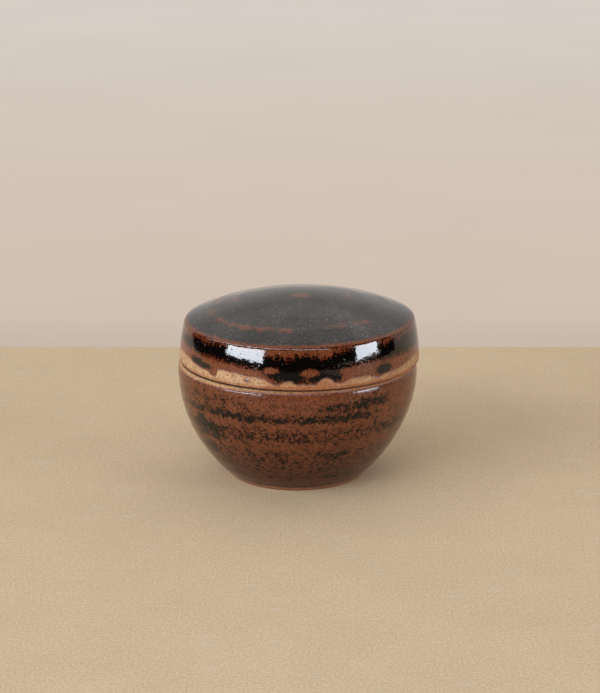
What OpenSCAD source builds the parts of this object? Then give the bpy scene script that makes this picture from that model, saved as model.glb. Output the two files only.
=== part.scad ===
// Small covered jar of glazed stoneware: a thrown bowl and the domed lid that seats in its mouth.
// Millimetres, +Z up. The origin is the middle of the foot, on the surface that the jar stands on.

/* [Bowl] */
// Widest diameter of the bowl, just under its rim
bowl_d = 125; // [105:1:150]
// Height of the bowl, from the foot to the ledge that carries the lid
bowl_h = 62; // [52:1:76]
// Diameter of the foot, before its edge is rounded
foot_d = 70; // [54:1:82]
// Rounding of the foot's edge
foot_round = 1.2; // [0.5:0.1:2.5]
// Lean of the wall where it leaves the foot, up from level
foot_angle = 40; // [32:1:52]
// How far the wall keeps that lean before the belly bends it upright
foot_reach = 15.7; // [8:0.1:18]
// How far the upright upper wall reaches down into the belly
belly_reach = 26; // [18:1:32]
// Height of the band under the rim over which the outside rounds inward
rim_band = 5; // [3:0.5:7]
// How far the outside rounds inward over that band
rim_draw = 2.2; // [1:0.1:3.2]
// Width of the flat bare ledge from that rounding to the mouth
ledge_w = 5; // [4:0.1:6.5]
// Rounding of the ledge's inner edge
mouth_round = 0.8; // [0.3:0.1:1.2]
// Thickness of the bowl's floor
floor_t = 6; // [4:0.5:8]
// Diameter of the level part of the bowl's floor
floor_d = 36; // [24:1:44]
// How far the floor stays nearly level before it turns up into the wall
floor_reach = 22; // [14:1:25]
// How far the upright inner wall reaches down inside the bowl
inner_reach = 30; // [22:1:36]

/* [Lid] */
// How far the lid's lower edge stands out past the widest part of the bowl
lid_proud = 0.3; // [-1:0.1:2]
// Height of the lid's side wall, from its seat to the ridge
side_h = 21.4; // [17:0.2:27]
// How far the crisp ridge between side wall and dome stands in from the lid's lower edge
ridge_in = 2.8; // [1:0.1:6]
// Swell of the side wall, out from the straight line between its two edges
side_swell = 0.7; // [0:0.1:1.6]
// Rounding of the lid's lower outer edge
edge_round = 1; // [0.4:0.1:1.6]
// Height of the dome above the ridge
dome_h = 13.6; // [10:0.1:20]
// Steepness of the shoulder just inside the ridge, up from level
shoulder_angle = 45; // [30:1:60]
// How far the shoulder keeps that steepness
shoulder_reach = 3.6; // [2:0.2:5]
// How far the crown stays nearly level round the middle
crown_reach = 27; // [20:1:33]
// Thickness of the dome at the middle
dome_t = 5; // [4:0.5:6.5]
// Thickness of the side wall, not counting its swell
side_t = 5; // [4:0.1:6.5]
// Height above the seat at which the hollow is widest
turn_h = 12; // [9:0.5:14]
// Height below the ridge down to which the underside of the shoulder leans
lean_drop = 1.4; // [0.5:0.1:3]

/* [Flange and fit] */
// Depth of the flange that hangs into the bowl's mouth
flange_h = 6; // [4:0.5:9]
// Thickness of the flange
flange_t = 4; // [3:0.1:5]
// Free play between the flange and the mouth, on each side when centred
flange_play = 1.3; // [0.6:0.1:2]
// Least space left between the flange and the mouth when the lid sits to one side
flange_space = 0.3; // [0.2:0.05:0.5]
// Space that the uneven bare clay leaves between the ledge and the lid's seat
seat_space = 0.3; // [0.1:0.05:0.5]

/* [Hidden] */
$fn = 180;

// Steps along each curve and round each small edge
curve_steps = 28;
edge_steps = 6;

bowl_glaze = "#6e3d29";
lid_glaze = "#201812";

bowl_r = bowl_d / 2;
foot_r = foot_d / 2;
floor_r = floor_d / 2;
ledge_r = bowl_r - rim_draw;
mouth_r = ledge_r - ledge_w;

lid_r = bowl_r + lid_proud;
ridge_r = lid_r - ridge_in;
seat_z = bowl_h + seat_space;
ridge_z = seat_z + side_h;
apex_z = ridge_z + dome_h;
under_z = apex_z - dome_t;
lean_z = ridge_z - lean_drop;
turn_z = seat_z + turn_h;
turn_r = lid_r + (ridge_r - lid_r) * turn_h / side_h - side_t;
flange_r = mouth_r - flange_play;
flange_in_r = flange_r - flange_t;
flange_z = seat_z - flange_h;

// The closed lid sits to the right, as far as its flange can go
lid_shift = flange_play - flange_space;

// A smooth curve from a to d that leaves a towards b and reaches d from c
function curve(a, b, c, d) =
    [for (i = [0 : curve_steps])
        let (t = i / curve_steps, s = 1 - t)
        s * s * s * a + 3 * s * s * t * b + 3 * s * t * t * c + t * t * t * d];

// A round or oval edge about a middle point, from one angle to another
function edge(middle, wide, high, from, to) =
    [for (i = [0 : edge_steps])
        let (turn = from + (to - from) * i / edge_steps)
        middle + [wide * cos(turn), high * sin(turn)]];

// A length in a direction, given as the angle up from level
function along(length, angle) = length * [cos(angle), sin(angle)];

function bowl_outside() =
    let (middle = [foot_r - foot_round, foot_round],
         start = middle + along(foot_round, foot_angle - 90),
         end = [bowl_r, bowl_h - rim_band])
    concat(
        edge(middle, foot_round, foot_round, -90, foot_angle - 90),
        curve(start, start + along(foot_reach, foot_angle), end - [0, belly_reach], end),
        edge([ledge_r, end[1]], rim_draw, rim_band, 0, 90));

function bowl_inside() =
    let (start = [mouth_r, bowl_h - mouth_round],
         end = [floor_r, floor_t])
    concat(
        edge([mouth_r + mouth_round, start[1]], mouth_round, mouth_round, 90, 180),
        curve(start, start - [0, inner_reach], end + [floor_reach, 0], end));

function lid_outside() =
    let (ridge = [ridge_r, ridge_z],
         low = [lid_r, seat_z + edge_round],
         rise = ridge - low)
    concat(
        curve([0, apex_z], [crown_reach, apex_z], ridge + along(shoulder_reach, 180 - shoulder_angle), ridge),
        curve(ridge, low + rise * 2 / 3 + [side_swell, 0], low + rise / 3 + [side_swell, 0], low),
        edge(low - [edge_round, 0], edge_round, edge_round, 0, -90));

function lid_inside() =
    let (lip = flange_t / 2,
         turn = [turn_r, turn_z],
         middle_z = (seat_z + turn_z) / 2)
    concat(
        edge([flange_r - lip, flange_z + lip], lip, lip, 0, -180),
        curve([flange_in_r, seat_z], [flange_in_r, middle_z], [turn_r, middle_z], turn),
        curve(turn, [turn_r, lean_z], [crown_reach, under_z], [0, under_z]));

module bowl() {
    color(bowl_glaze)
        rotate_extrude()
            polygon(concat([[0, 0]], bowl_outside(), bowl_inside(), [[0, floor_t]]));
}

module lid() {
    color(lid_glaze)
        translate([lid_shift, 0, 0])
            rotate_extrude()
                polygon(concat(lid_outside(), [[flange_r, seat_z]], lid_inside()));
}

bowl();
lid();
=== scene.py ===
"""Covered onggi jar of iron-glazed stoneware: a thrown bowl and its domed lid, on a board by a window."""

import math

import bmesh
import bpy
import numpy as np
from mathutils import Matrix, Vector, noise


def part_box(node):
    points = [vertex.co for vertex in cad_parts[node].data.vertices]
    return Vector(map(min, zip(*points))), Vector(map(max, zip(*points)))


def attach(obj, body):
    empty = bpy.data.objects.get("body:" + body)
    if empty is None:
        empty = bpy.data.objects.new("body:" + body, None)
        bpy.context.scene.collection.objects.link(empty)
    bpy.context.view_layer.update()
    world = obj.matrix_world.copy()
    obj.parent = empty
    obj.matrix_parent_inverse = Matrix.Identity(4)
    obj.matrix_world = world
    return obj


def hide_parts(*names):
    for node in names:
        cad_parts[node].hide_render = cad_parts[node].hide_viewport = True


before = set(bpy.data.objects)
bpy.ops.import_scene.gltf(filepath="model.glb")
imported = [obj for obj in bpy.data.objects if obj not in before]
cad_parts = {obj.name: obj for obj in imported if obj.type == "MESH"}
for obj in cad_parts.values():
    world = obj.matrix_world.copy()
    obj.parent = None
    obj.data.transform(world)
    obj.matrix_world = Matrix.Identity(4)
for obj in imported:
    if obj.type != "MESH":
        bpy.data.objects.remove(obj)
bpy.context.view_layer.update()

bl_info = {
    "name": "Onggi Jar",
    "version": (1, 0, 0),
    "blender": (4, 5, 0),
    "location": "3D View > Sidebar > Onggi Jar",
    "description": "Turns a small covered stoneware jar, glazes it and sets it on a board in window light",
    "category": "Add Mesh",
}

# The jar's lengths are millimetres until the last step of each mesh. Settings and the stage are in metres
MM = 0.001

bowl_low, bowl_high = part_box("bowl")
lid_low, lid_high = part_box("lid")
BOWL_WIDTH = bowl_high.x - bowl_low.x
BOWL_HEIGHT = bowl_high.z - bowl_low.z
LID_WIDTH = lid_high.x - lid_low.x
LID_TOP = lid_high.z
# The closed lid sits to the right, as far as its flange can go in the mouth
LID_SHIFT = (lid_high.x + lid_low.x) / 2


def from_hex(code):
    """A colour written as sRGB hex, turned to the linear light that Blender's sockets take."""
    parts = [int(code[i : i + 2], 16) / 255 for i in (1, 3, 5)]
    return tuple(c / 12.92 if c <= 0.04045 else ((c + 0.055) / 1.055) ** 2.4 for c in parts)


def length(name, text, default):
    """A length that a user may change, in metres."""
    return bpy.props.FloatProperty(
        name=name, description=text, default=default, min=0, precision=4, unit="LENGTH"
    )


def lamp_level(name, text, default):
    """A brightness that a user may change, where 1 is white paper in full light."""
    return bpy.props.FloatProperty(name=name, description=text, default=default, min=0)


def tint(name, text, code):
    """A colour that a user may change, given as sRGB hex."""
    return bpy.props.FloatVectorProperty(
        name=name, description=text, default=from_hex(code), size=3, min=0, max=1, subtype="COLOR"
    )


class BowlSettings(bpy.types.PropertyGroup):
    """Sizes of the bowl."""

    width: length("Width", "Widest diameter, just under the rim", BOWL_WIDTH)
    height: length("Height", "From the board to the ledge that carries the lid", BOWL_HEIGHT)
    foot: length("Foot", "Diameter of the flat foot", 0.070)
    ledge: length("Ledge", "Width of the bare ledge under the lid", 0.005)
    rim: length("Rim", "Height of the band that rounds in to the ledge", 0.005)
    floor: length("Floor", "Thickness of the bowl's floor", 0.006)
    ridges: length("Throwing ridges", "How far the fingers' ridges stand out", 0.00005)


class LidSettings(bpy.types.PropertyGroup):
    """Sizes of the lid."""

    width: length("Width", "Diameter at the lower edge", LID_WIDTH)
    top: length("Top", "Height of the middle of the dome above the board", LID_TOP)
    side: length("Side", "Height of the side wall, from seat to ridge", 0.0214)
    ridge_in: length("Ridge in", "How far the ridge stands in from the lower edge", 0.0028)
    dome: length("Dome", "Height of the dome above the ridge", 0.0136)
    wall: length("Wall", "Thickness of dome and side wall", 0.005)
    flange: length("Flange", "Depth of the flange that hangs into the mouth", 0.006)
    shift: length("Shift", "How far to the right the closed lid sits", LID_SHIFT)


class GlazeSettings(bpy.types.PropertyGroup):
    """Thickness and colours of clay and glaze."""

    coat: length("Coat", "Thickness of the glaze over the bare clay", 0.0002)
    clay: tint("Clay", "Tan stoneware where it is bare", "#af8b63")
    flash: tint("Flash", "Bare clay that the kiln's vapours coloured", "#935a33")
    thin: tint("Thin glaze", "Glaze at its edge, thin and purplish brown", "#5e3a30")
    rust: tint("Rust on the lid", "Glaze that is rich in iron rust, on the lid", "#693922")
    # Painted shade: the bowl's rust is a darker copy of the lid's, for the dimmer light on the bowl
    shaded_bowl_rust: tint("Rust on the bowl", "Glaze that is rich in iron rust, on the bowl", "#623620")
    ash: tint("Ash specks", "Pale specks in the glaze", "#a29694")
    amber: tint("Amber", "Glassy red-brown between rust and black", "#57240c")
    black: tint("Black", "Glaze where it is thick", "#070504")


class StageSettings(bpy.types.PropertyGroup):
    """The board, the backdrop and the light."""

    board: tint("Board", "Colour of the tan board", "#d9bf9b")
    backdrop: tint("Backdrop", "Colour of the pale sheet behind the jar", "#d6cdc4")
    # Painted shade, warmed by light off the board: the sheet is darker and warmer close to the board
    shaded_backdrop_low: tint("Low backdrop", "Colour of the pale sheet close to the board", "#d0bfb0")
    backdrop_at: length("Backdrop at", "How far behind the jar's middle the pale sheet starts", 0.2374)
    left_window: lamp_level("Left window", "Brightness of the window on the left", 18.5)
    right_window: lamp_level("Right window", "Brightness of the window on the right", 17.0)
    high_window: lamp_level("High window", "Brightness of the high window in front", 7.8)
    room: lamp_level("Room", "Brightness of the pale room", 0.7)


SETTINGS = {
    "jar_bowl": BowlSettings,
    "jar_lid": LidSettings,
    "jar_glaze": GlazeSettings,
    "jar_stage": StageSettings,
}

# How far the bowl's outside rounds in under its ledge
RIM_DRAW = 2.2
# Glaze is measured in millimetres from its edge. This is clay that is bare all over
BARE = -3.0

# How the glaze lies, read round the jar: degrees from the front, to the right, and heights above the board

# Where the glaze ends above the lid's bare lower edge
LID_GLAZE_EDGE = (
    (-170, 67.0), (-158, 68.5), (-147, 66.0), (-140, 65.2), (-134, 67.8), (-118, 69.0), (-104, 67.2),
    (-95, 68.6), (-80, 70.4), (-68, 70.4), (-61, 68.6), (-55, 67.2), (-50, 67.0), (-46.4, 66.2),
    (-46, 65.2), (-42.4, 65.2), (-41.4, 69.2), (-37, 69.5), (-30, 69.0), (-25, 68.3), (-21, 68.4),
    (-16, 67.4), (-14, 66.0), (-12, 65.0), (-9, 65.0), (-7.4, 66.2), (-5, 67.3), (-3.4, 66.6), (-2, 65.3),
    (3, 65.0), (8, 65.3), (9.4, 67.2), (12, 68.4), (14.5, 67.8), (16.4, 65.6), (20, 65.3), (22.5, 66.3),
    (25.5, 67.2), (34, 67.3), (36.5, 66.2), (39, 65.1), (43, 66.1), (50, 66.6), (60, 67.5), (70, 69.0),
    (84, 68.0), (93, 66.0), (98, 65.2), (106, 67.5), (122, 68.6), (133, 67.0), (141, 65.6), (150, 67.8),
    (165, 68.8), (176, 66.4),
)
# Where the lid's black band gives way to rust below it, and above it under the ridge
LID_BLACK_FOOT = (
    (-175, 73.0), (-160, 74.5), (-150, 72.0), (-140, 66.0), (-128, 66.0), (-124, 72.5), (-110, 74.0),
    (-95, 73.0), (-80, 75.6), (-62, 75.4), (-60, 74.6), (-42, 74.4), (-30, 73.4), (-21, 72.4),
    (-17.5, 71.0), (-15, 69.6), (-12.5, 67.0), (-9, 66.4), (19, 66.4), (20.5, 70.6), (24, 72.6), (30, 73.8),
    (48, 73.2), (80, 73.2), (96, 74.0), (112, 71.0), (116, 67.0), (128, 67.0), (132, 72.0), (150, 74.0),
    (170, 73.5),
)
LID_BLACK_HEAD = (
    (-170, 80.5), (-150, 82.0), (-130, 81.0), (-110, 79.5), (-95, 81.0), (-80, 80.4), (-68, 81.4),
    (-60, 82.3), (-40, 82.5), (-22, 82.0), (-17, 81.0), (-12, 80.2), (-9, 79.7), (-6, 78.6), (-3, 79.9),
    (1, 80.7), (6, 80.2), (9, 79.6), (12, 78.7), (15, 79.7), (18, 81.2), (21, 82.4), (40, 82.6), (45, 81.2),
    (52, 82.0), (80, 81.8), (100, 80.5), (120, 82.0), (140, 80.0), (160, 81.5),
)
# Rust spots, black patches and drops of glaze on the lid's side: degrees, height, half width in degrees and
# half height
LID_RUST_SPOTS = (
    (-13.4, 72.5, 3.6, 1.8), (4.8, 71.4, 4.1, 2.0), (3.6, 68.2, 0.6, 1.6), (23, 71.3, 4.0, 1.5),
    (118, 70.5, 3.5, 1.8), (127, 71.2, 3.0, 1.5), (-134, 70.8, 4.0, 2.0),
)
LID_BLACK_PATCHES = (
    (-57, 70.5, 5.4, 2.1), (-51, 69.2, 5.2, 1.8), (43.4, 69.0, 4.8, 2.5), (88, 70.0, 6.0, 2.0),
    (-112, 70.0, 7.0, 2.0), (158, 70.0, 6.5, 2.2),
)
LID_GLAZE_DROPS = ((-25, 66.3, 1.2, 1.1), (104, 65.6, 0.9, 0.8), (-152, 65.6, 1.2, 0.8))
# Rust breaks on the dome: first and last degree, distance from the middle, half width
DOME_RUST_ARCS = (
    (-84, -60, 46.6, 1.2), (-62, -30, 47.2, 1.5), (-34, -5, 47.0, 1.4), (19, 30, 44.6, 0.9),
    (38, 47, 46.0, 1.1), (-118, -98, 44.0, 2.2), (-108, -88, 34.0, 1.5), (84, 112, 25.0, 1.2),
    (-130, -112, 46.5, 0.9), (128, 166, 47.0, 1.2), (186, 214, 33.0, 1.1), (150, 162, 24.0, 1.0),
)
# Painted sheen: soft pale patches in the dome's black, in fine ash grains. How far right of the middle,
# how far behind it, and half width
DOME_SHEEN_PATCHES = ((42, 2, 7), (22, -28, 8), (-30, 20, 9), (5, 36, 10), (30, -42, 6))
# Where the glaze ends under the bowl's bare rim
BOWL_GLAZE_EDGE = (
    (-170, 60.0), (-140, 60.5), (-110, 59.8), (-80, 59.5), (-60, 59.7), (-42, 59.9), (-30, 60.1),
    (-24, 60.3), (-19, 60.5), (-5, 60.7), (10, 60.7), (20, 60.6), (45, 60.5), (60, 60.6), (80, 60.3),
    (120, 60.6), (150, 60.0),
)
# How far the bare clay is flashed orange-brown, from 0 to 1, on the lid's edge and on the bowl's rim
LID_FLASH = (
    (-180, 0.3), (-130, 0.5), (-90, 0.1), (-30, 0.05), (-20, 0.1), (-14, 0.5), (0, 0.8), (9, 1.0),
    (16, 0.8), (28, 0.35), (45, 0.45), (70, 0.4), (100, 0.1), (140, 0.5),
)
BOWL_FLASH = (
    (-180, 0.3), (-120, 0.3), (-80, 0.1), (-30, 0.1), (-15, 0.4), (0, 0.7), (20, 0.7), (50, 0.6), (90, 0.3),
    (140, 0.4),
)
# Bands of black mottling on the bowl: height, half height, and how dense they are round the bowl
BOWL_BANDS = (
    (37.0, 5.8, (
        (-180, 0.35), (-100, 0.3), (-80, 0.4), (60, 0.42), (70, 0.3), (110, 0.35),
    )),
    (18.5, 10.2, (
        (-180, 0.35), (-100, 0.3), (-60, 0.42), (-20, 0.47), (30, 0.44), (60, 0.36), (110, 0.35),
    )),
    (52.7, 3.8, (
        (-180, 0.35), (-75, 0.2), (-62, 0.36), (-26, 0.38), (-20, 0.1), (-8, 0.24), (10, 0.3), (16, 0.45),
        (46, 0.5), (50, 0.1), (120, 0.3),
    )),
    (47.0, 3.6, (
        (-180, 0.35), (-75, 0.3), (-40, 0.45), (30, 0.45), (44, 0.3), (70, 0.15), (110, 0.3),
    )),
    (52.7, 2.6, (
        (-180, 0.5), (-120, 0.35), (-75, 0.1), (-65, 0.35), (-46, 0.42), (-40, 0.5), (-25, 0.5),
        (-22, 0.05), (-8, 0.15), (0, 0.35), (8, 0.3), (15, 0.75), (25, 0.85), (46, 1.0), (49, 0.05),
        (90, 0.1), (120, 0.6), (150, 0.35),
    )),
    (46.4, 2.2, (
        (-180, 0.6), (-120, 0.8), (-75, 0.6), (-60, 0.85), (-30, 1.0), (-10, 0.8), (10, 1.0), (34, 0.95),
        (40, 0.45), (46, 0.2), (60, 0.25), (75, 0.1), (100, 0.3), (140, 0.85),
    )),
    (36.6, 3.2, (
        (-180, 0.3), (-130, 0.5), (-80, 0.3), (-68, 0.35), (-61, 1.1), (-42, 1.05), (-38, 0.7), (-20, 0.65),
        (-5, 0.7), (5, 0.75), (8, 0.2), (20, 0.1), (25, 0.5), (33, 0.65), (40, 0.7), (60, 0.6), (70, 0.3),
        (90, 0.2), (120, 0.7), (150, 0.6),
    )),
    (31.5, 2.0, (
        (-180, 0.2), (-66, 0.2), (-60, 0.9), (-42, 0.8), (-36, 0.4), (-15, 0.3), (-5, 0.1), (90, 0.1),
        (150, 0.4),
    )),
    (25.4, 1.9, (
        (-180, 0.4), (-120, 0.6), (-70, 0.4), (-61, 0.95), (-50, 1.0), (-46, 0.4), (-30, 0.55), (-5, 0.5),
        (5, 0.35), (8, 0.6), (15, 0.9), (28, 0.9), (31, 0.3), (60, 0.45), (90, 0.3), (130, 0.6),
    )),
    (20.4, 1.5, (
        (-180, 0.3), (-62, 0.3), (-58, 0.8), (-50, 0.9), (-45, 0.4), (-25, 0.6), (0, 0.35), (20, 0.3),
        (35, 0.5), (45, 0.3), (120, 0.5),
    )),
    (14.6, 1.2, (
        (-180, 0.3), (-50, 0.25), (-12, 0.4), (10, 0.55), (16, 0.2), (60, 0.25), (140, 0.45),
    )),
    (10.4, 1.4, (
        (-180, 0.3), (-50, 0.3), (-43, 0.8), (-35, 0.5), (-30, 0.2), (-15, 0.45), (0, 0.6), (15, 0.45),
        (18, 0.95), (27, 0.95), (30, 0.2), (33, 0.7), (43, 0.7), (48, 0.1), (130, 0.4),
    )),
)
# Big dark patches on the bowl: degrees, height, half width in degrees and half height
BOWL_PATCHES = ((-54, 36.5, 8.5, 7.0), (-46, 33.0, 6.0, 5.0), (-55, 23.5, 7.5, 4.2), (134, 34, 9, 6.0))


# Outlines, the same lines as the part's source draws

def curve(a, b, c, d, steps=120):
    """A smooth curve from a to d that leaves a towards b and reaches d from c."""
    t = np.linspace(0, 1, steps + 1)[:, None]
    s = 1 - t
    a, b, c, d = (np.array(p, float) for p in (a, b, c, d))
    return s**3 * a + 3 * s * s * t * b + 3 * s * t * t * c + t**3 * d


def edge(middle, wide, high, start, end, steps=24):
    """A round or oval edge about a middle point, from one angle to another."""
    turn = np.radians(np.linspace(start, end, steps + 1))
    return np.array(middle) + np.stack([wide * np.cos(turn), high * np.sin(turn)], 1)


def along(size, angle):
    """A length in a direction, given as the angle up from level."""
    return size * np.array([math.cos(math.radians(angle)), math.sin(math.radians(angle))])


def straight(a, b):
    """The straight line from a to b."""
    return np.array([a, b], float)


def spaced(line, gap):
    """The same line with points about gap apart."""
    reach = np.concatenate([[0], np.cumsum(np.hypot(*np.diff(line, axis=0).T))])
    at = np.linspace(0, reach[-1], max(1, round(reach[-1] / gap)) + 1)
    return np.stack([np.interp(at, reach, line[:, 0]), np.interp(at, reach, line[:, 1])], 1)


def softened(before, after, back_by, ahead_by):
    """Two lines that meet in a corner, with the corner taken off by a small curve, which starts back_by
    before it and ends ahead_by after it."""
    corner = before[-1]
    back = np.hypot(*(before - corner).T) > back_by
    ahead = np.hypot(*(after - corner).T) > ahead_by
    start = corner + (before[back][-1] - corner) / np.hypot(*(before[back][-1] - corner)) * back_by
    end = corner + (after[ahead][0] - corner) / np.hypot(*(after[ahead][0] - corner)) * ahead_by
    bend = curve(start, (start + corner * 2) / 3, (end + corner * 2) / 3, end, 16)
    return np.vstack([before[back], start]), bend, np.vstack([end, after[ahead]])


def bowl_lines(bowl):
    """The bowl's half section from the middle of its foot, up the outside and down inside, in named lines,
    each with its points spaced as closely as its own detail needs."""
    width, height, foot = bowl.width / 2 / MM, bowl.height / MM, bowl.foot / 2 / MM
    rim, ledge_wide, floor = bowl.rim / MM, bowl.ledge / MM, bowl.floor / MM
    foot_round, foot_angle, foot_reach, belly_reach = 1.2, 40, 15.7, 26
    mouth_round, floor_half, floor_reach, inner_reach = 0.8, 18, 22, 30
    ledge = width - RIM_DRAW
    mouth = ledge - ledge_wide
    middle = np.array([foot - foot_round, foot_round])
    start = middle + along(foot_round, foot_angle - 90)
    shoulder = np.array([width, height - rim])
    lip = np.array([mouth, height - mouth_round])
    bottom = np.array([floor_half, floor])
    belly = curve(start, start + along(foot_reach, foot_angle), shoulder - [0, belly_reach], shoulder)
    inner = curve(lip, lip - [0, inner_reach], bottom + [floor_reach, 0], bottom)
    return (
        ("under", spaced(straight([0, 0], [foot - foot_round, 0]), 4)),
        ("outside", spaced(edge(middle, foot_round, foot_round, -90, foot_angle - 90), 0.25)),
        ("outside", spaced(belly, 0.62)),
        ("outside", spaced(edge([ledge, shoulder[1]], RIM_DRAW, rim, 0, 90), 0.33)),
        ("ledge", spaced(straight([ledge, height], [mouth + mouth_round, height]), 1)),
        ("inside", spaced(edge([mouth + mouth_round, lip[1]], mouth_round, mouth_round, 90, 180), 0.3)),
        ("inside", spaced(inner, 1.7)),
        ("inside", spaced(straight(bottom, [0, floor]), 2.2)),
    )


def lid_lines(lid, bowl):
    """The lid's half section from under the middle of the dome, down to the flange and up the outside. The
    flange hangs inside the bowl's mouth, and its root and the ridge are a little rounded."""
    half, top, side = lid.width / 2 / MM, lid.top / MM, lid.side / MM
    dome, wall, flange = lid.dome / MM, lid.wall / MM, lid.flange / MM
    ridge = np.array([half - lid.ridge_in / MM, top - dome])
    seat = top - dome - side
    mouth = bowl.width / 2 / MM - RIM_DRAW - bowl.ledge / MM
    edge_round, swell, shoulder_angle, shoulder_reach, crown_reach = 1.0, 0.7, 45, 3.6, 27
    turn_up, lean_drop, flange_play, flange_thick, root_round = 12, 1.4, 1.3, 4, 0.4
    low = np.array([half, seat + edge_round])
    rise = ridge - low
    flange_out = mouth - flange_play
    flange_in = flange_out - flange_thick
    lip = flange_thick / 2
    turn = np.array([half - lid.ridge_in / MM * turn_up / side - wall, seat + turn_up])
    halfway = seat + turn_up / 2
    crown = curve([0, top], [crown_reach, top], ridge + along(shoulder_reach, 180 - shoulder_angle), ridge)
    outer = curve(ridge, low + rise * 2 / 3 + [swell, 0], low + rise / 3 + [swell, 0], low)
    hollow = np.vstack([
        curve([flange_in, seat], [flange_in, halfway], [turn[0], halfway], turn),
        curve(turn, [turn[0], ridge[1] - lean_drop], [crown_reach, top - wall], [0, top - wall])[1:],
    ])
    seat_line, root, flange_line = softened(
        straight([half - edge_round, seat], [flange_out, seat]),
        straight([flange_out, seat], [flange_out, seat - flange + lip]), root_round, root_round)
    crown, nose, outer = softened(crown, outer, 0.7, 1.5)
    lines = (
        ("dome", spaced(crown, 0.85)),
        ("side", spaced(nose, 0.16)),
        ("side", spaced(outer, 0.42)),
        ("side", spaced(edge(low - [edge_round, 0], edge_round, edge_round, 0, -90), 0.3)),
        ("seat", spaced(seat_line, 1.5)),
        ("seat", spaced(root, 0.3)),
        ("seat", spaced(flange_line, 1.2)),
        ("seat", spaced(edge([flange_out - lip, seat - flange + lip], lip, lip, 0, -180), 0.8)),
        ("seat", spaced(straight([flange_in, seat - flange + lip], [flange_in, seat]), 1.2)),
        ("hollow", spaced(hollow, 2.4)),
    )
    return tuple((name, line[::-1]) for name, line in lines[::-1])


# Chance and tables

def lumps(points, size, seed):
    """Smooth chance from about -1 to 1 at each point, in lumps of the given size."""
    shifted = points / size + seed
    return np.array([noise.noise(Vector(p)) for p in shifted])


def round_table(turn, table):
    """A value read round the jar from a table of degrees and values."""
    degrees, values = zip(*table)
    return np.interp(turn, degrees, values, period=360)


def step(value, low, high):
    """Eases from 0 at low to 1 at high."""
    t = np.clip((value - low) / (high - low), 0, 1)
    return t * t * (3 - 2 * t)


def blob(turn, height, spot):
    """How far inside an oval spot each point is, in millimetres: above 0 inside it."""
    at, middle, wide, high = spot
    aside = (turn - at + 180) % 360 - 180
    return (1 - np.hypot(aside / wide, (height - middle) / high)) * min(wide * 1.08, high)


def turned(name, lines, steps, dress, settle):
    """Turns a half section into one closed mesh, with steps points round it. dress(part, turn, radius,
    height, place) gives how far each point is lifted off the section and the named values that its glaze
    needs. settle(points) then moves the points as the soft clay sagged."""
    ring_part = []
    rings = []
    for part, line in lines:
        for point in line[1:] if rings else line:
            rings.append(point)
            ring_part.append(part)
    rings = np.array(rings)
    along_line = np.gradient(rings, axis=0)
    along_line /= np.hypot(*along_line.T)[:, None]
    out = np.stack([along_line[:, 1], -along_line[:, 0]], 1)
    middle = rings[1:-1]
    degrees = -180 + 360 * np.arange(steps) / steps
    turn = np.tile(degrees, len(middle))
    radius = np.repeat(middle[:, 0], steps)
    height = np.repeat(middle[:, 1], steps)
    out_r = np.repeat(out[1:-1, 0], steps)
    out_z = np.repeat(out[1:-1, 1], steps)
    turn = np.concatenate([turn, [0, 0]])
    radius = np.concatenate([radius, [0, 0]])
    height = np.concatenate([height, rings[[0, -1], 1]])
    out_r = np.concatenate([out_r, [0, 0]])
    out_z = np.concatenate([out_z, [-1, 1]])
    part = np.concatenate([np.repeat(ring_part[1:-1], steps), [ring_part[0], ring_part[-1]]])
    angle = np.radians(turn)
    place = np.stack([radius * np.sin(angle), -radius * np.cos(angle), height], 1)
    lift, values = dress(part, turn, radius, height, place)
    new_radius = radius + out_r * lift
    new_height = height + out_z * lift
    points = np.stack([new_radius * np.sin(angle), -new_radius * np.cos(angle), new_height], 1)
    settle(points)
    points *= MM
    first, last = len(points) - 2, len(points) - 1
    here = np.arange(steps)
    there = (here + 1) % steps
    base = (np.arange(len(middle) - 1) * steps)[:, None]
    quads = np.stack([base + here, base + there, base + there + steps, base + here + steps], 2)
    end = (len(middle) - 1) * steps
    faces = quads.reshape(-1, 4).tolist()
    faces += [(first, int(b), int(a)) for a, b in zip(here, there)]
    faces += [(last, int(end + a), int(end + b)) for a, b in zip(here, there)]
    mesh = bpy.data.meshes.new(name)
    mesh.from_pydata(points.tolist(), [], faces)
    mesh.polygons.foreach_set("use_smooth", np.ones(len(faces), bool))
    for label, numbers in values.items():
        mesh.attributes.new(label, "FLOAT", "POINT").data.foreach_set("value", numbers.astype(np.float32))
    mesh.update()
    piece = bpy.data.objects.new(name, mesh)
    bpy.context.scene.collection.objects.link(piece)
    return piece


def coat_lift(glaze, coat, unevenness, rolled):
    """How far the glaze stands above bare clay: an uneven edge, rolled that much of the coat higher, then
    an even coat."""
    bead = rolled * (1 + 2 * unevenness) * np.exp(-(((glaze - 0.7) / 0.5) ** 2))
    return coat * (step(glaze, -0.15, 0.75) + bead)


def lean_bowl(points):
    """The bowl's foot stands a little to the left of its rim."""
    lean, straight_below, straight_above = 0.6, 18, 50
    points[:, 0] -= lean * (1 - step(points[:, 2], straight_below, straight_above))


def tilt_lid(points):
    """The lid's wall is a little taller on the right than on the left."""
    slope, level_below, tilted_above = 0.0141, 64, 80
    points[:, 2] += slope * points[:, 0] * step(points[:, 2], level_below, tilted_above)


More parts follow.
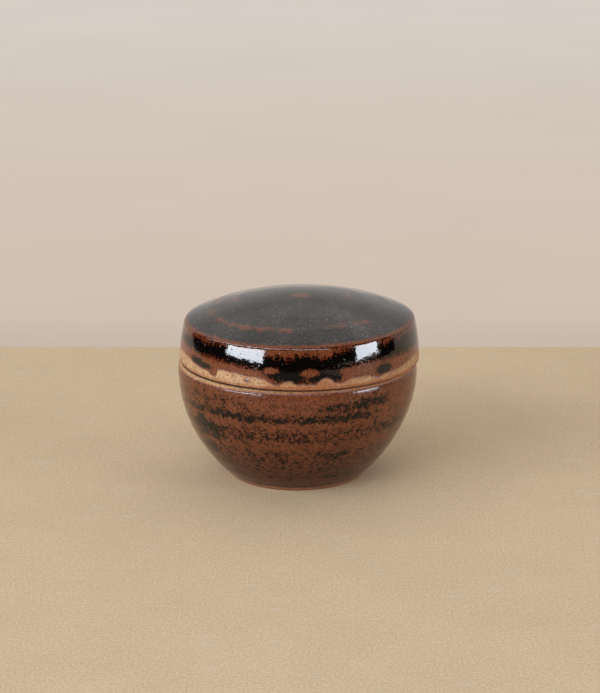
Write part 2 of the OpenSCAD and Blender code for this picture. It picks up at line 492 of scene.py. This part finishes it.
def dress_bowl(bowl, glaze_settings):
    """How the bowl's surface is lifted and glazed."""
    coat = glaze_settings.coat / MM
    ridges = bowl.ridges / MM
    top = bowl.height / MM
    bare_foot, bare_mouth, ridge_gap = 1.9, 2.6, 6.9

    def dress(part, turn, radius, height, place):
        outside = part == "outside"
        inside = part == "inside"
        wave = lumps(place * (1, 1, 0), 14, 3.1)
        fine = lumps(place, 2.6, 7.7)
        grain = lumps(place, 1.1, 5.5)
        # The glaze stops short of the rim and of the foot, and inside short of the ledge
        rim = round_table(turn, BOWL_GLAZE_EDGE) + 0.2 * fine + 0.25 * grain
        foot = bare_foot + 0.35 * wave + 0.3 * fine
        glaze = np.full(len(turn), BARE)
        glaze = np.where(outside, np.minimum(height - foot, rim - height), glaze)
        glaze = np.where(outside & (height < 0.3), -2.0, glaze)
        glaze = np.where(inside, top - bare_mouth + 0.5 * wave + 0.3 * fine - height, glaze)
        # Black mottling in bands that wander a little as they go round
        sway = 0.8 * wave + 0.6 * lumps(place * (1, 1, 0), 5, 1.3) + 0.9 * fine
        dark = np.zeros(len(turn))
        for middle, half, table in BOWL_BANDS:
            near = 1 - step(np.abs(height - middle - sway), half * 0.35, half * 1.6)
            dark = np.maximum(dark, round_table(turn, table) * near)
        for spot in BOWL_PATCHES:
            dark = np.maximum(dark, 1.05 * step(blob(turn, height, spot) + 1.6 * fine, -0.6, 2.6))
        dark = dark - 0.04 + 0.16 * lumps(place, 4.5, 11.2)
        dark = np.where(inside, 0.45 + 0.5 * lumps(place * (1, 1, 2.5), 9, 5.2), dark)
        flash = round_table(turn, BOWL_FLASH) + 0.3 * fine
        flash = np.where(height < 5, 0.9, flash)
        # Painted shade in the seam under the lid's edge, and a painted contact shadow at the foot
        soil_and_painted_shade = np.where(outside, step(height, 61.2, 61.9) + 0.9 * step(-height, -0.6, -0.1), 0)
        # Painted shade: the outside darkens towards the foot. Inside is a bit darker, and wave varies the
        # tone
        shade = np.where(outside, 0.38 + 0.62 * step(height, -6, 44), 0.9) * (1 + 0.12 * wave)
        # Throwing ridges, which stand out more inside, and the hand-thrown wall's slow waves
        ring = np.sin(height * 2 * math.pi / ridge_gap + 1.1 + 0.5 * wave)
        lift = ridges * ring * step(glaze, 0, 3) * np.where(inside, 5.0, 1.0)
        lift += 0.12 * wave * step(glaze, 0, 6)
        lift += (0.4 * coat_lift(glaze, coat, fine, 0.2) - coat * 0.3) * (outside | inside)
        # The foot is a little hollow underneath
        lift = np.where(part == "under", -0.12 * step(radius, 0, 4) * step(33 - radius, 0, 3), lift)
        lift[-2:] = 0
        dark = np.clip(dark, -0.5, 1.5)
        ash_and_sheen = np.zeros(len(turn))
        return lift, dict(glaze=glaze, dark=dark, flash=flash, soil_and_painted_shade=soil_and_painted_shade, shade=shade, ash_and_sheen=ash_and_sheen)

    return dress


def dress_lid(lid, glaze_settings):
    """How the lid's surface is lifted and glazed."""
    coat = glaze_settings.coat / MM
    ridge = (lid.top - lid.dome) / MM
    hollow_glaze, rust_rim, dome_edge = 17, 58.3, 58

    def dress(part, turn, radius, height, place):
        dome = part == "dome"
        side = part == "side"
        hollow = part == "hollow"
        wave = lumps(place, 13, 2.2)
        fine = lumps(place, 2.2, 9.1)
        grain = lumps(place, 1.1, 5.5)
        streak = lumps(place * (1, 1, 0.3), 1.5, 4.4)
        smudge = lumps(place, 3.2, 6.6)
        # The glaze ends above the lower edge, in drips, with a few drops on the clay below
        glaze = height - round_table(turn, LID_GLAZE_EDGE) + 0.3 * fine + 0.2 * grain
        for spot in LID_GLAZE_DROPS:
            glaze = np.maximum(glaze, np.minimum(blob(turn, height, spot), 0.4) + 0.2 * grain)
        glaze = np.where(side, glaze, BARE)
        glaze = np.where(dome, 8.0, glaze)
        glaze = np.where(hollow, height - ridge + hollow_glaze + 0.6 * wave, glaze)
        # A black band runs round the side, with black patches below it and rust spots in it
        low = height - round_table(turn, LID_BLACK_FOOT)
        high = round_table(turn, LID_BLACK_HEAD) - height
        low = 0.55 * low + 0.4 * streak + 0.2 * grain
        high = 0.42 * high + 0.8 * streak + 0.5 * grain
        black = np.minimum(low, high)
        for spot in LID_BLACK_PATCHES:
            black = np.maximum(black, blob(turn, height, spot) + 0.35 * fine + 0.2 * grain)
        for spot in LID_RUST_SPOTS:
            black = np.minimum(black, -1.6 * blob(turn, height, spot) + 0.3 * fine + 0.15 * grain)
        # The dome is black, with rust in arcs, in one spot by the middle and round its rim
        over = np.full(len(turn), 2.5)
        for start, end, at, half in DOME_RUST_ARCS:
            aside = np.abs((turn - (start + end) / 2 + 180) % 360 - 180)
            beyond = np.maximum(aside - (end - start) / 2, 0)
            away = np.hypot(np.abs(radius - at), np.radians(beyond) * at) - half
            over = np.minimum(over, 0.55 * away + 1.5 * smudge + 0.9 * grain + 0.1)
        over = np.minimum(over, np.hypot((place[:, 0] - 0.5) / 1.3, place[:, 1] + 6) - 3.9 + 1.5 * fine)
        over = np.minimum(over, rust_rim - radius + 0.5 * fine + 0.5 * grain)
        black = np.where(dome, over, np.maximum(black, -1.4 + 0.5 * fine))
        # A thin dark line of pooled glaze runs under the ridge
        black = np.maximum(black, 0.25 + 0.5 * grain - 1.4 * np.abs(height - ridge + 0.55))
        black = np.where(hollow, 0.6 * wave + 1.2 * lumps(place * (1, 1, 2), 6, 3.3) - 0.3, black)
        flash = round_table(turn, LID_FLASH) + 0.3 * fine + 0.7 * step(-height, -64.6, -63.6) * side
        # Painted shade darkens the lower edge's underside over the seam, and soil lies thinly on the seat
        soil_and_painted_shade = np.where(side, step(-height, -62.9 - 0.2 * fine, -62.4), 0)
        seat_grime = 0.3 * step(height, 61.6, 62.2) + 0.15 * step(fine, 0, 0.6)
        soil_and_painted_shade = np.where(part == "seat", seat_grime, soil_and_painted_shade)
        # Two throwing rings show on the dome, the ridge is slightly nicked, and the hollow is all rings
        ring = np.exp(-(((radius - 47) / 2.2) ** 2)) + 0.6 * np.exp(-(((radius - 34) / 2.4) ** 2))
        lift = np.where(dome, 0.16 * ring + 0.1 * wave * step(dome_edge - radius, 0, 8), 0.0)
        lift += np.where(side, 0.04 * wave * step(ridge - height, 0.5, 4), 0)
        nicks = 0.08 * grain * np.exp(-(((height - ridge + 0.2) / 0.7) ** 2))
        lift += np.where(side | dome, nicks, 0)
        lift += np.where(hollow, 0.2 * np.sin(height * 2 * math.pi / 7 + wave), 0)
        lift += (coat_lift(glaze, coat, fine, 0.1) - coat * 0.7) * (side | dome | hollow)
        lift *= np.where(hollow, step(height - ridge, -20, -16), 1)
        lift[-2:] = lift[-3]
        shade = 1 + 0.15 * wave
        # Pale ash grain all over the dome, with soft patches of painted sheen
        ash_and_sheen = 0.12 + 0.1 * wave + 0.08 * smudge
        for x, y, size in DOME_SHEEN_PATCHES:
            ash_and_sheen += 0.2 * np.exp(-((place[:, 0] - x) ** 2 + (place[:, 1] - y) ** 2) / size**2)
        ash_and_sheen = np.where(dome, ash_and_sheen, 0.0)
        black = np.clip(black, -4, 4)
        return lift, dict(glaze=glaze, dark=black, flash=flash, soil_and_painted_shade=soil_and_painted_shade, shade=shade, ash_and_sheen=ash_and_sheen)

    return dress


# Materials

# The options of a mix that mixes colours, and which of its outputs is the colour
OF_COLOURS = {"out": 2, "data_type": "RGBA"}


def add_node(tree, kind, inputs=None, out=0, **settings):
    """Adds one node, sets its own options, and fills or links its inputs. It gives one of the node's
    outputs, or the node itself where out is None."""
    made = tree.nodes.new("ShaderNode" + kind)
    for name, value in settings.items():
        setattr(made, name, value)
    for key, value in (inputs or {}).items():
        if isinstance(value, bpy.types.NodeSocket):
            tree.links.new(value, made.inputs[key])
        else:
            made.inputs[key].default_value = value
    return made if out is None or not made.outputs else made.outputs[out]


def opaque(colour, share=1.0):
    """A colour with its fourth number, brought to a share of its light."""
    return (*(c * share for c in colour), 1.0)


def per_mm(size):
    """The scale that draws a pattern whose lumps are size millimetres across."""
    return 1 / (size * MM)


def new_material(name):
    """An empty node material with that name, and its nodes."""
    material = bpy.data.materials.new(name)
    material.use_nodes = True
    material.node_tree.nodes.clear()
    return material, material.node_tree


def iron_glaze(name, colours, rust_colour, mottled):
    """Iron glaze, fired to a gloss over thrown stoneware. It breaks to rust where it is thin and is near
    black where it is thick, and where it was wiped off, the tan clay is dry and gritty. mottled gives the
    bowl's speckled black, and otherwise the black is solid with brushed edges, as on the lid."""
    material, tree = new_material(name)
    # The bowl's mottling is crystals in round clumps, and the lid's brush marks are taller than wide
    if mottled:
        drawn, clump, wide_by, small_by = (1.0, 1.0, 0.9), 2.4, 3.6, 3.3
        start, end, most_black, rust_rough, black_rough, mirror = 0.5, 0.7, 0.95, 0.15, 0.1, 0.3
    else:
        drawn, clump, wide_by, small_by = (1.0, 1.0, 0.8), 1.4, 3.0, 4.8
        start, end, most_black, rust_rough, black_rough, mirror = -0.35, 0.45, 1.0, 0.12, 0.05, 0.5
    place = add_node(tree, "TexCoord", out="Object")
    glaze, dark, flash, soil_and_painted_shade, shade, ash_and_sheen = (
        add_node(tree, "Attribute", attribute_name=value, out="Fac")
        for value in ("glaze", "dark", "flash", "soil_and_painted_shade", "shade", "ash_and_sheen")
    )
    drawn_place = add_node(tree, "VectorMath", {0: place, 1: drawn}, operation="MULTIPLY")
    wide = add_node(tree, "TexNoise",
                    {"Vector": drawn_place, "Scale": per_mm(clump), "Detail": 4.0, "Roughness": 0.75})
    # The glaze's own crystals are about 0.2 mm, drawn 0.9 mm wide so that they show
    small = add_node(tree, "TexNoise",
                     {"Vector": place, "Scale": per_mm(0.9), "Detail": 2.0, "Roughness": 0.65})
    wide_share = add_node(tree, "Math", {0: wide, 1: 0.5}, operation="SUBTRACT")
    small_share = add_node(tree, "Math", {0: small, 1: 0.5}, operation="SUBTRACT")
    level = add_node(tree, "Math", {0: wide_share, 1: wide_by, 2: dark}, operation="MULTIPLY_ADD")
    level = add_node(tree, "Math", {0: small_share, 1: small_by, 2: level}, operation="MULTIPLY_ADD")
    black_share = add_node(tree, "MapRange",
                           {"Value": level, "From Min": start, "From Max": end, "To Max": most_black})
    # Rust comes in clouds, with a fine grain of crystals
    clouds = add_node(tree, "TexNoise", {"Vector": place, "Scale": per_mm(7.0), "Detail": 3.0})
    rust = add_node(tree, "Mix", {0: clouds, 6: opaque(rust_colour, 0.7), 7: opaque(rust_colour, 1.3)},
                    **OF_COLOURS)
    crystal = add_node(tree, "MapRange",
                       {"Value": small, "From Min": 0.3, "From Max": 0.7, "To Min": 0.42, "To Max": 1.66})
    # The shade value scales the rust, and on the bowl it carries painted shade towards the foot
    crystal = add_node(tree, "Math", {0: crystal, 1: shade}, operation="MULTIPLY")
    rust = add_node(tree, "VectorMath", {0: rust, "Scale": crystal}, operation="SCALE")
    to_amber = add_node(tree, "MapRange", {"Value": black_share, "From Max": 0.4})
    to_black = add_node(tree, "MapRange", {"Value": black_share, "From Min": 0.4, "From Max": 0.85})
    colour = add_node(tree, "Mix", {0: to_amber, 6: rust, 7: opaque(colours.amber)}, **OF_COLOURS)
    colour = add_node(tree, "Mix", {0: to_black, 6: colour, 7: opaque(colours.black)}, **OF_COLOURS)
    # Fine grains of pale ash grey the black where the value says so: a little all over the dome, and more
    # in soft patches that are painted sheen
    bloom = add_node(tree, "MapRange",
                     {"Value": small, "From Min": 0.42, "From Max": 0.64, "To Max": ash_and_sheen})
    bloom = add_node(tree, "Math", {0: bloom, 1: to_black}, operation="MULTIPLY")
    colour = add_node(tree, "Mix", {0: bloom, 6: colour, 7: opaque(colours.ash)}, **OF_COLOURS)
    # Crystals of iron and of pale ash stand in the glaze as specks about half a millimetre across
    cells = add_node(tree, "TexVoronoi", {"Vector": place, "Scale": per_mm(2.2)}, out=None)
    kind = add_node(tree, "SeparateColor", {0: cells.outputs["Color"]})
    speck = add_node(tree, "MapRange",
                     {"Value": cells.outputs["Distance"], "From Min": 0.07, "From Max": 0.15, "To Min": 0.8,
                      "To Max": 0.0})
    pale_kind = add_node(tree, "MapRange", {"Value": kind, "From Min": 0.7, "From Max": 0.71})
    pale_share = add_node(tree, "MapRange", {"Value": ash_and_sheen, "From Max": 0.1, "To Min": 0.15})
    pale_kind = add_node(tree, "Math", {0: pale_kind, 1: pale_share}, operation="MULTIPLY")
    pale_speck = add_node(tree, "Math", {0: speck, 1: pale_kind}, operation="MULTIPLY")
    rust_kind = add_node(tree, "MapRange", {"Value": kind, "From Min": 0.45, "From Max": 0.44})
    rust_speck = add_node(tree, "Math", {0: speck, 1: rust_kind}, operation="MULTIPLY")
    colour = add_node(tree, "Mix", {0: rust_speck, 6: colour, 7: rust}, **OF_COLOURS)
    colour = add_node(tree, "Mix", {0: pale_speck, 6: colour, 7: opaque(colours.ash)}, **OF_COLOURS)
    thin = add_node(tree, "MapRange",
                    {"Value": glaze, "From Min": 0.1, "From Max": 0.9, "To Min": 0.85, "To Max": 0.0})
    # The thin edge has pinkish-white specks: grains of unmelted ash, and painted glints
    edge_ash_and_glints = add_node(tree, "MapRange",
                        {"Value": small, "From Min": 0.5, "From Max": 0.64, "To Max": 0.6})
    thin_glaze = add_node(tree, "Mix", {0: edge_ash_and_glints, 6: opaque(colours.thin), 7: opaque(colours.ash)},
                          **OF_COLOURS)
    colour = add_node(tree, "Mix", {0: thin, 6: colour, 7: thin_glaze}, **OF_COLOURS)
    # Bare stoneware: sandy tan with fine brown and pale grit, flashed orange-brown where the kiln's vapours
    # reached it, and soiled on the seat where bowl and lid touch. Painted shade darkens it in the seam
    # under the lid's edge, and a painted contact shadow darkens the foot
    grit = add_node(tree, "TexNoise",
                    {"Vector": place, "Scale": per_mm(1.0), "Detail": 2.0, "Roughness": 0.7})
    clay_clouds = add_node(tree, "TexNoise", {"Vector": place, "Scale": per_mm(3.0), "Detail": 3.0})
    clay = add_node(tree, "Mix",
                    {0: clay_clouds, 6: opaque(colours.clay, 0.7), 7: opaque(colours.clay, 1.3)},
                    **OF_COLOURS)
    flash = add_node(tree, "Clamp", {0: flash})
    near_glaze = add_node(tree, "MapRange",
                          {"Value": glaze, "From Min": -0.9, "From Max": 0.0, "To Min": flash,
                           "To Max": 1.0})
    clay = add_node(tree, "Mix", {0: near_glaze, 6: clay, 7: opaque(colours.flash)}, **OF_COLOURS)
    specks = add_node(tree, "MapRange",
                      {"Value": grit, "From Min": 0.5, "From Max": 0.68, "To Max": 0.8})
    pale_grit = add_node(tree, "MapRange",
                         {"Value": grit, "From Min": 0.44, "From Max": 0.3, "To Max": 0.65})
    unflashed = add_node(tree, "MapRange", {"Value": near_glaze, "To Min": 1.0, "To Max": 0.15})
    pale_grit = add_node(tree, "Math", {0: pale_grit, 1: unflashed}, operation="MULTIPLY")
    clay = add_node(tree, "Mix", {0: pale_grit, 6: clay, 7: opaque(from_hex("#d0b99c"))}, **OF_COLOURS)
    clay = add_node(tree, "Mix", {0: specks, 6: clay, 7: opaque(colours.flash, 0.45)}, **OF_COLOURS)
    # Soil, and painted shade in the seam and at the foot, darken the bare clay towards a dim amber
    clay = add_node(tree, "Mix", {0: soil_and_painted_shade, 6: clay, 7: opaque(colours.amber, 0.35)}, **OF_COLOURS)
    edge_level = add_node(tree, "Math", {0: small_share, 1: 0.9, 2: glaze}, operation="MULTIPLY_ADD")
    bare = add_node(tree, "MapRange",
                    {"Value": edge_level, "From Min": -0.12, "From Max": 0.16, "To Min": 1.0,
                     "To Max": 0.0})
    colour = add_node(tree, "Mix", {0: bare, 6: colour, 7: clay}, **OF_COLOURS)
    # The black is glassy, the rust a little duller with crystals, the clay dry. The glaze has a fine orange
    # peel and a few burst bubbles, the clay has grit
    gloss = add_node(tree, "MapRange",
                     {"Value": black_share, "To Min": rust_rough, "To Max": black_rough})
    rough = add_node(tree, "MapRange", {"Value": bare, "To Min": gloss, "To Max": 0.85})
    peel = add_node(tree, "TexNoise", {"Vector": place, "Scale": per_mm(1.9), "Detail": 1.5})
    bubbles = add_node(tree, "TexVoronoi", {"Vector": place, "Scale": per_mm(3.1)}, out="Distance")
    pit = add_node(tree, "MapRange",
                   {"Value": bubbles, "From Min": 0.06, "From Max": 0.15, "To Min": -0.12, "To Max": 0.0})
    peel_height = add_node(tree, "Math", {0: peel, 1: 0.034, 2: pit}, operation="MULTIPLY_ADD")
    grit_height = add_node(tree, "Math", {0: grit, 1: 0.22}, operation="MULTIPLY")
    relief = add_node(tree, "MapRange", {"Value": bare, "To Min": peel_height, "To Max": grit_height})
    bumps = add_node(tree, "Bump", {"Height": relief, "Distance": MM})
    surface = add_node(tree, "BsdfPrincipled",
                       {"Base Color": colour, "Roughness": rough, "IOR": 1.52, "Normal": bumps,
                        "Specular IOR Level": mirror})
    add_node(tree, "OutputMaterial", {"Surface": surface})
    return material


def kraft_board(colour):
    """Kraft board: pressed brown paper with a fine grain and pale fibres that lie left to right."""
    material, tree = new_material("kraft board")
    place = add_node(tree, "TexCoord", out="Object")
    grain_place = add_node(tree, "VectorMath", {0: place, 1: (1.0, 0.7, 1.0)}, operation="MULTIPLY")
    grain = add_node(tree, "TexNoise",
                     {"Vector": grain_place, "Scale": per_mm(1.1), "Detail": 3.0, "Roughness": 0.75})
    grain = add_node(tree, "MapRange", {"Value": grain, "From Min": 0.34, "From Max": 0.66})
    clouds = add_node(tree, "TexNoise", {"Vector": place, "Scale": per_mm(45), "Detail": 2.0})
    drawn = add_node(tree, "VectorMath", {0: place, 1: (0.1, 0.7, 1.0)}, operation="MULTIPLY")
    fibre = add_node(tree, "TexNoise", {"Vector": drawn, "Scale": per_mm(1.6), "Detail": 2.0})
    fibres = add_node(tree, "MapRange",
                      {"Value": fibre, "From Min": 0.6, "From Max": 0.68, "To Max": 0.35})
    patches = add_node(tree, "TexNoise", {"Vector": place, "Scale": per_mm(28), "Detail": 1.0})
    patches = add_node(tree, "MapRange", {"Value": patches, "From Min": 0.45, "From Max": 0.6})
    fibres = add_node(tree, "Math", {0: fibres, 1: patches}, operation="MULTIPLY")
    # The grain's dark side is browner and its pale side greyer than the board as a whole
    brown = [c * share for c, share in zip(colour, (0.86, 0.84, 0.79))]
    pale = [c * share for c, share in zip(colour, (1.14, 1.16, 1.21))]
    tan = add_node(tree, "Mix", {0: grain, 6: opaque(brown), 7: opaque(pale)}, **OF_COLOURS)
    shade = add_node(tree, "MapRange", {"Value": clouds, "To Min": 0.94, "To Max": 1.06})
    tan = add_node(tree, "VectorMath", {0: tan, "Scale": shade}, operation="SCALE")
    tan = add_node(tree, "Mix", {0: fibres, 6: tan, 7: opaque(from_hex("#dcd6cc"))}, **OF_COLOURS)
    surface = add_node(tree, "BsdfPrincipled", {"Base Color": tan, "Roughness": 0.85, "IOR": 1.45})
    add_node(tree, "OutputMaterial", {"Surface": surface})
    return material


def painted_sheet(colour, shaded_low_colour, start):
    """A sheet painted by hand in a flat, chalky paint, with faint cloudy brush work. It is lit on its own,
    so the camera, and gloss that mirrors it, see it evenly pale. It is a little darker and warmer towards
    the board, painted shade warmed by light off the board, and darker still where it meets it, painted
    shade."""
    fades_over, foot_high = 1.4, 0.09
    material, tree = new_material("painted sheet")
    place = add_node(tree, "TexCoord", out="Object")
    clouds = add_node(tree, "TexNoise", {"Vector": place, "Scale": per_mm(160), "Detail": 3.0})
    cloud_shade = add_node(tree, "MapRange", {"Value": clouds, "To Min": 0.97, "To Max": 1.03})
    away = add_node(tree, "SeparateXYZ", {0: place}, out=1)
    up = add_node(tree, "MapRange", {"Value": away, "From Min": start, "From Max": start + fades_over})
    # Painted shade, warmed by light off the board: darker and warmer towards the board
    pale = add_node(tree, "Mix", {0: up, 6: opaque(shaded_low_colour), 7: opaque(colour)}, **OF_COLOURS)
    pale = add_node(tree, "VectorMath", {0: pale, "Scale": cloud_shade}, operation="SCALE")
    # Painted shade: darker still along the sheet's foot, where it meets the board
    foot = add_node(tree, "MapRange",
                    {"Value": away, "From Min": start, "From Max": start + foot_high, "To Min": 0.92,
                     "To Max": 1.0}, interpolation_type="SMOOTHSTEP")
    shown = add_node(tree, "VectorMath", {0: pale, "Scale": foot}, operation="SCALE")
    glow = add_node(tree, "Emission", {"Color": shown, "Strength": 1.0})
    chalk = add_node(tree, "BsdfDiffuse", {"Color": pale, "Roughness": 0.9})
    rays = add_node(tree, "LightPath", out=None)
    seen = add_node(tree, "Math",
                    {0: rays.outputs["Is Camera Ray"], 1: rays.outputs["Is Glossy Ray"]},
                    operation="MAXIMUM")
    seen = add_node(tree, "Math", {0: seen, 1: rays.outputs["Is Transmission Ray"]}, operation="MAXIMUM")
    surface = add_node(tree, "MixShader", {0: seen, 1: chalk, 2: glow})
    add_node(tree, "OutputMaterial", {"Surface": surface})
    return material


# Stage

def flat_sheet(name, corners, material):
    """A flat sheet between two opposite corners, just under the jar's foot so that it never cuts it."""
    under_foot = -0.0001
    made = bmesh.new()
    (left, near), (right, far) = corners
    spots = [(left, near), (right, near), (right, far), (left, far)]
    made.faces.new([made.verts.new((x, y, under_foot)) for x, y in spots])
    mesh = bpy.data.meshes.new(name)
    made.to_mesh(mesh)
    made.free()
    mesh.materials.append(material)
    sheet = bpy.data.objects.new(name, mesh)
    bpy.context.scene.collection.objects.link(sheet)


def window(name, brightness, away, azimuth, elevation):
    """A soft window, that far away. azimuth and elevation are its first and last angle as the lid's side
    sees it, in degrees, where azimuth is 0 at the front and grows to the right."""
    lid_side = Vector((0, 0, 0.075))
    turn = math.radians(sum(azimuth) / 2)
    rise = math.radians(sum(elevation) / 2)
    towards = Vector((math.sin(turn) * math.cos(rise), -math.cos(turn) * math.cos(rise), math.sin(rise)))
    lamp = bpy.data.lights.new(name, "AREA")
    lamp.shape = "RECTANGLE"
    lamp.size = 2 * away * math.tan(math.radians(azimuth[1] - azimuth[0]) / 2)
    lamp.size_y = 2 * away * math.tan(math.radians(elevation[1] - elevation[0]) / 2)
    # A lamp of pi watts on each square metre is as bright as white paper in full light
    lamp.energy = brightness * math.pi * lamp.size * lamp.size_y
    lamp.color = from_hex("#f0f6ff")
    holder = bpy.data.objects.new(name, lamp)
    holder.location = towards * away + lid_side
    holder.rotation_mode = "QUATERNION"
    holder.rotation_quaternion = towards.to_track_quat("Z", "Y")
    holder.visible_camera = False
    bpy.context.scene.collection.objects.link(holder)


def dark_surround():
    """Low black cards round the left, front and right, and a grey one that lies in front: painted
    reflections of a dark room, which only the gloss of the glaze sees, and which cast no shadow. They
    keep the pale board from greying the black of the glaze. Each is pressed paper, dyed right through, so
    it is evenly dull."""
    standing = (
        (-0.72, 0.54, 0.08), (-0.72, 0.10, 0.08), (-0.72, -0.60, 0.08), (-0.50, -1.60, 0.08),
        (0.60, -1.60, 0.08), (0.95, -0.60, 0.03), (0.95, -0.18, 0.03), (0.95, -0.12, 0.08),
        (0.95, 0.18, 0.08),
    )
    lying = ((-0.60, -1.60, 0.0005), (0.50, -1.60, 0.0005), (0.40, -0.36, 0.0005), (-0.45, -0.36, 0.0005))
    made = bmesh.new()
    feet = [made.verts.new((x, y, 0)) for x, y, _ in standing]
    tops = [made.verts.new(corner) for corner in standing]
    for i in range(len(standing) - 1):
        made.faces.new((feet[i], feet[i + 1], tops[i + 1], tops[i]))
    made.faces.new([made.verts.new(corner) for corner in lying]).material_index = 1
    mesh = bpy.data.meshes.new("black cards")
    made.to_mesh(mesh)
    made.free()
    for name, colour in (("black card", "#0a0a0a"), ("grey card", "#7a7264")):
        material, tree = new_material(name)
        surface = add_node(tree, "BsdfDiffuse", {"Color": opaque(from_hex(colour))})
        add_node(tree, "OutputMaterial", {"Surface": surface})
        mesh.materials.append(material)
    cards = bpy.data.objects.new("black_cards", mesh)
    bpy.context.scene.collection.objects.link(cards)
    cards.visible_camera = False
    cards.visible_diffuse = False
    cards.visible_shadow = False


def room_light(brightness):
    """Light from the pale ceiling and the wall behind. The room in front and beside is dark, low down."""
    world = bpy.data.worlds.new("room")
    world.use_nodes = True
    tree = world.node_tree
    tree.nodes.clear()
    towards = add_node(tree, "TexCoord", out="Generated")
    height = add_node(tree, "SeparateXYZ", {0: towards}, out=2)
    behind = add_node(tree, "SeparateXYZ", {0: towards}, out=1)
    level = add_node(tree, "VectorMath", {0: towards, 1: (1, 1, 0)}, operation="MULTIPLY")
    level = add_node(tree, "VectorMath", {0: level}, operation="NORMALIZE")
    # The wall's middle is 167 degrees round from the front, and it reaches 66 degrees to each side
    wall_middle = math.radians(167)
    facing = add_node(tree, "VectorMath", {0: level, 1: (math.sin(wall_middle), -math.cos(wall_middle), 0)},
                      out="Value", operation="DOT_PRODUCT")
    wall = add_node(tree, "MapRange", {"Value": facing, "From Min": 0.385, "From Max": 0.435})
    ceiling = add_node(tree, "MapRange", {"Value": height, "From Min": 0.46, "From Max": 0.62},
                       interpolation_type="SMOOTHSTEP")
    wall_light = add_node(tree, "Math", {0: wall, 1: brightness * 0.8}, operation="MULTIPLY")
    low = add_node(tree, "Math", {0: wall_light, 1: 0.005}, operation="MAXIMUM")
    # The ceiling is brightest behind the jar and dim in front
    high = add_node(tree, "MapRange",
                    {"Value": behind, "From Min": -0.5, "From Max": 0.5, "To Min": brightness * 0.35,
                     "To Max": brightness * 1.15}, interpolation_type="SMOOTHSTEP")
    light = add_node(tree, "MapRange", {"Value": ceiling, "To Min": low, "To Max": high})
    back = add_node(tree, "Background", {"Color": opaque(from_hex("#fffaf4")), "Strength": light})
    add_node(tree, "OutputWorld", {"Surface": back})
    bpy.context.scene.world = world


def set_camera():
    """The photograph's view: a long lens, 1.3 m away and 16 degrees above level."""
    lens = bpy.data.cameras.new("camera")
    lens.sensor_width = 36
    lens.lens = 128.3
    lens.clip_end = 50
    camera = bpy.data.objects.new("camera", lens)
    camera.location = (0, -1.2443, 0.4214)
    aim = Vector((0.0013, 0, 0.0678)) - camera.location
    camera.rotation_mode = "QUATERNION"
    camera.rotation_quaternion = aim.to_track_quat("-Z", "Y")
    bpy.context.scene.collection.objects.link(camera)
    bpy.context.scene.camera = camera


# Operators and panel

class ONGGI_OT_throw_bowl(bpy.types.Operator):
    """Turn the bowl and glaze it"""

    bl_idname = "onggi.throw_bowl"
    bl_label = "Throw bowl"

    def execute(self, context):
        bowl, colours = context.scene.jar_bowl, context.scene.jar_glaze
        piece = turned("glazed_bowl", bowl_lines(bowl), 480, dress_bowl(bowl, colours), lean_bowl)
        glaze = iron_glaze("bowl iron glaze on stoneware", colours, colours.shaded_bowl_rust, True)
        piece.data.materials.append(glaze)
        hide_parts("bowl")
        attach(piece, "bowl")
        return {"FINISHED"}


class ONGGI_OT_throw_lid(bpy.types.Operator):
    """Turn the lid, glaze it and set it on the bowl"""

    bl_idname = "onggi.throw_lid"
    bl_label = "Throw lid"

    def execute(self, context):
        lid, bowl, colours = context.scene.jar_lid, context.scene.jar_bowl, context.scene.jar_glaze
        piece = turned("glazed_lid", lid_lines(lid, bowl), 525, dress_lid(lid, colours), tilt_lid)
        piece.data.transform(Matrix.Translation((lid.shift, 0, 0)))
        glaze = iron_glaze("lid iron glaze on stoneware", colours, colours.rust, False)
        piece.data.materials.append(glaze)
        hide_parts("lid")
        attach(piece, "lid")
        return {"FINISHED"}


class ONGGI_OT_set_stage(bpy.types.Operator):
    """Lay the board and the pale sheet, and set the windows, the room's light and the camera"""

    bl_idname = "onggi.set_stage"
    bl_label = "Set stage"

    def execute(self, context):
        stage = context.scene.jar_stage
        reach, split = 8.0, stage.backdrop_at
        painted = painted_sheet(stage.backdrop, stage.shaded_backdrop_low, split)
        flat_sheet("board", ((-reach, -reach), (reach, split)), kraft_board(stage.board))
        flat_sheet("backdrop", ((-reach, split), (reach, reach)), painted)
        window("left window", stage.left_window, 14, (-74, -35), (1.5, 13))
        window("right window", stage.right_window, 6, (55, 80), (-2.5, 13))
        window("high window", stage.high_window, 4, (-100, 25), (29.5, 37.5))
        dark_surround()
        room_light(stage.room)
        set_camera()
        context.scene.view_settings.view_transform = "Standard"
        return {"FINISHED"}


class ONGGI_PT_sidebar(bpy.types.Panel):
    """Sizes, colours and steps of the jar"""

    bl_idname = "ONGGI_PT_sidebar"
    bl_label = "Onggi Jar"
    bl_space_type = "VIEW_3D"
    bl_region_type = "UI"
    bl_category = "Onggi Jar"

    def draw(self, context):
        for name, group in SETTINGS.items():
            box = self.layout.box()
            for prop in group.__annotations__:
                box.prop(getattr(context.scene, name), prop)
        for operator in OPERATORS:
            self.layout.operator(operator.bl_idname)


OPERATORS = (ONGGI_OT_throw_bowl, ONGGI_OT_throw_lid, ONGGI_OT_set_stage)
CLASSES = (*SETTINGS.values(), *OPERATORS, ONGGI_PT_sidebar)


def register():
    for item in CLASSES:
        bpy.utils.register_class(item)
    for name, group in SETTINGS.items():
        setattr(bpy.types.Scene, name, bpy.props.PointerProperty(type=group))


def unregister():
    for name in SETTINGS:
        delattr(bpy.types.Scene, name)
    for item in reversed(CLASSES):
        bpy.utils.unregister_class(item)


def main():
    """Makes the jar and its stage."""
    register()
    bpy.ops.onggi.throw_bowl()
    bpy.ops.onggi.throw_lid()
    bpy.ops.onggi.set_stage()


if __name__ == "__main__":
    main()
